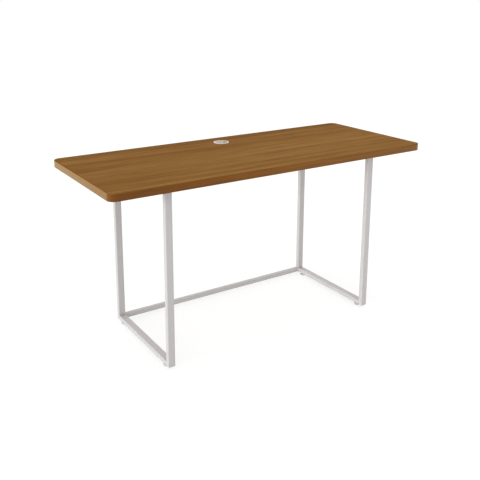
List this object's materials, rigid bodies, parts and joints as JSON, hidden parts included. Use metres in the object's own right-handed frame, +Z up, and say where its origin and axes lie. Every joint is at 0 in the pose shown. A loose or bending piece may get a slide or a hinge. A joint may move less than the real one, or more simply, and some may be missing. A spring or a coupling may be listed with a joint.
{
  "type": "writing desk",
  "caption": "Rectangular writing desk with a wood-grain top, rear cable grommet, closed tube side frames, rear crossbar and screw-adjusted glides.",
  "frame": {"origin": "on the floor below the centre of the desktop", "axes": "+X to the user's right along the desktop, +Y to the rear edge with the cable grommet, +Z up"},
  "size_m": [1.5, 0.6, 0.762],
  "materials": {
    "wood_laminate": "matt printed wood grain",
    "wood_band": "matt printed wood grain",
    "chipboard": "raw board",
    "backing_laminate": "plain matt backing",
    "frame_paint": "satin silver-grey powder coat",
    "zinc_steel": "bright zinc plate",
    "grommet_plastic": "satin moulded",
    "cap_plastic": "fine moulded texture",
    "glide_plastic": "satin moulded nylon"
  },
  "bodies": {
    "desk": {"desktop_core": "chipboard", "top_laminate": "wood_laminate", "under_laminate": "backing_laminate", "edge_band": "wood_band", "threaded_inserts": "zinc_steel", "grommet_liner": "grommet_plastic", "left_front_leg": "frame_paint", "left_rear_leg": "frame_paint", "left_bottom_rail": "frame_paint", "left_top_rail": "frame_paint", "right_front_leg": "frame_paint", "right_rear_leg": "frame_paint", "right_bottom_rail": "frame_paint", "right_top_rail": "frame_paint", "rear_crossbar": "frame_paint", "left_spigot": "frame_paint", "right_spigot": "frame_paint", "crossbar_screws": "zinc_steel", "frame_screws": "zinc_steel", "frame_washers": "zinc_steel", "glide_nuts": "zinc_steel"},
    "cap": {"grommet_cap": "cap_plastic"},
    "left_front_foot": {"left_front_pad": "glide_plastic"},
    "left_front_screw": {"left_front_stud": "zinc_steel"},
    "left_rear_foot": {"left_rear_pad": "glide_plastic"},
    "left_rear_screw": {"left_rear_stud": "zinc_steel"},
    "right_front_foot": {"right_front_pad": "glide_plastic"},
    "right_front_screw": {"right_front_stud": "zinc_steel"},
    "right_rear_foot": {"right_rear_pad": "glide_plastic"},
    "right_rear_screw": {"right_rear_stud": "zinc_steel"}
  },
  "joints": [
    {"name": "cap_turn", "type": "hinge", "parent": "desk", "child": "cap", "pos_m": [0, 0.2, 0.762], "axis": [0, 0, 1], "continuous": true},
    {"name": "left_front_level", "type": "slide", "parent": "desk", "child": "left_front_foot", "axis": [0, 0, -1], "range_m": [0, 0.01]},
    {"name": "left_front_turn", "type": "hinge", "parent": "left_front_foot", "child": "left_front_screw", "pos_m": [-0.5, -0.201, 0.007], "axis": [0, 0, -1], "range_deg": [0, 2880]},
    {"name": "left_rear_level", "type": "slide", "parent": "desk", "child": "left_rear_foot", "axis": [0, 0, -1], "range_m": [0, 0.01]},
    {"name": "left_rear_turn", "type": "hinge", "parent": "left_rear_foot", "child": "left_rear_screw", "pos_m": [-0.5, 0.205, 0.007], "axis": [0, 0, -1], "range_deg": [0, 2880]},
    {"name": "right_front_level", "type": "slide", "parent": "desk", "child": "right_front_foot", "axis": [0, 0, -1], "range_m": [0, 0.01]},
    {"name": "right_front_turn", "type": "hinge", "parent": "right_front_foot", "child": "right_front_screw", "pos_m": [0.5, -0.201, 0.007], "axis": [0, 0, -1], "range_deg": [0, 2880]},
    {"name": "right_rear_level", "type": "slide", "parent": "desk", "child": "right_rear_foot", "axis": [0, 0, -1], "range_m": [0, 0.01]},
    {"name": "right_rear_turn", "type": "hinge", "parent": "right_rear_foot", "child": "right_rear_screw", "pos_m": [0.5, 0.205, 0.007], "axis": [0, 0, -1], "range_deg": [0, 2880]}
  ],
  "couplings": [
    {"joint": "left_front_level", "follows": "left_front_turn", "m_per_rad": 0.00019894},
    {"joint": "left_rear_level", "follows": "left_rear_turn", "m_per_rad": 0.00019894},
    {"joint": "right_front_level", "follows": "right_front_turn", "m_per_rad": 0.00019894},
    {"joint": "right_rear_level", "follows": "right_rear_turn", "m_per_rad": 0.00019894}
  ]
}
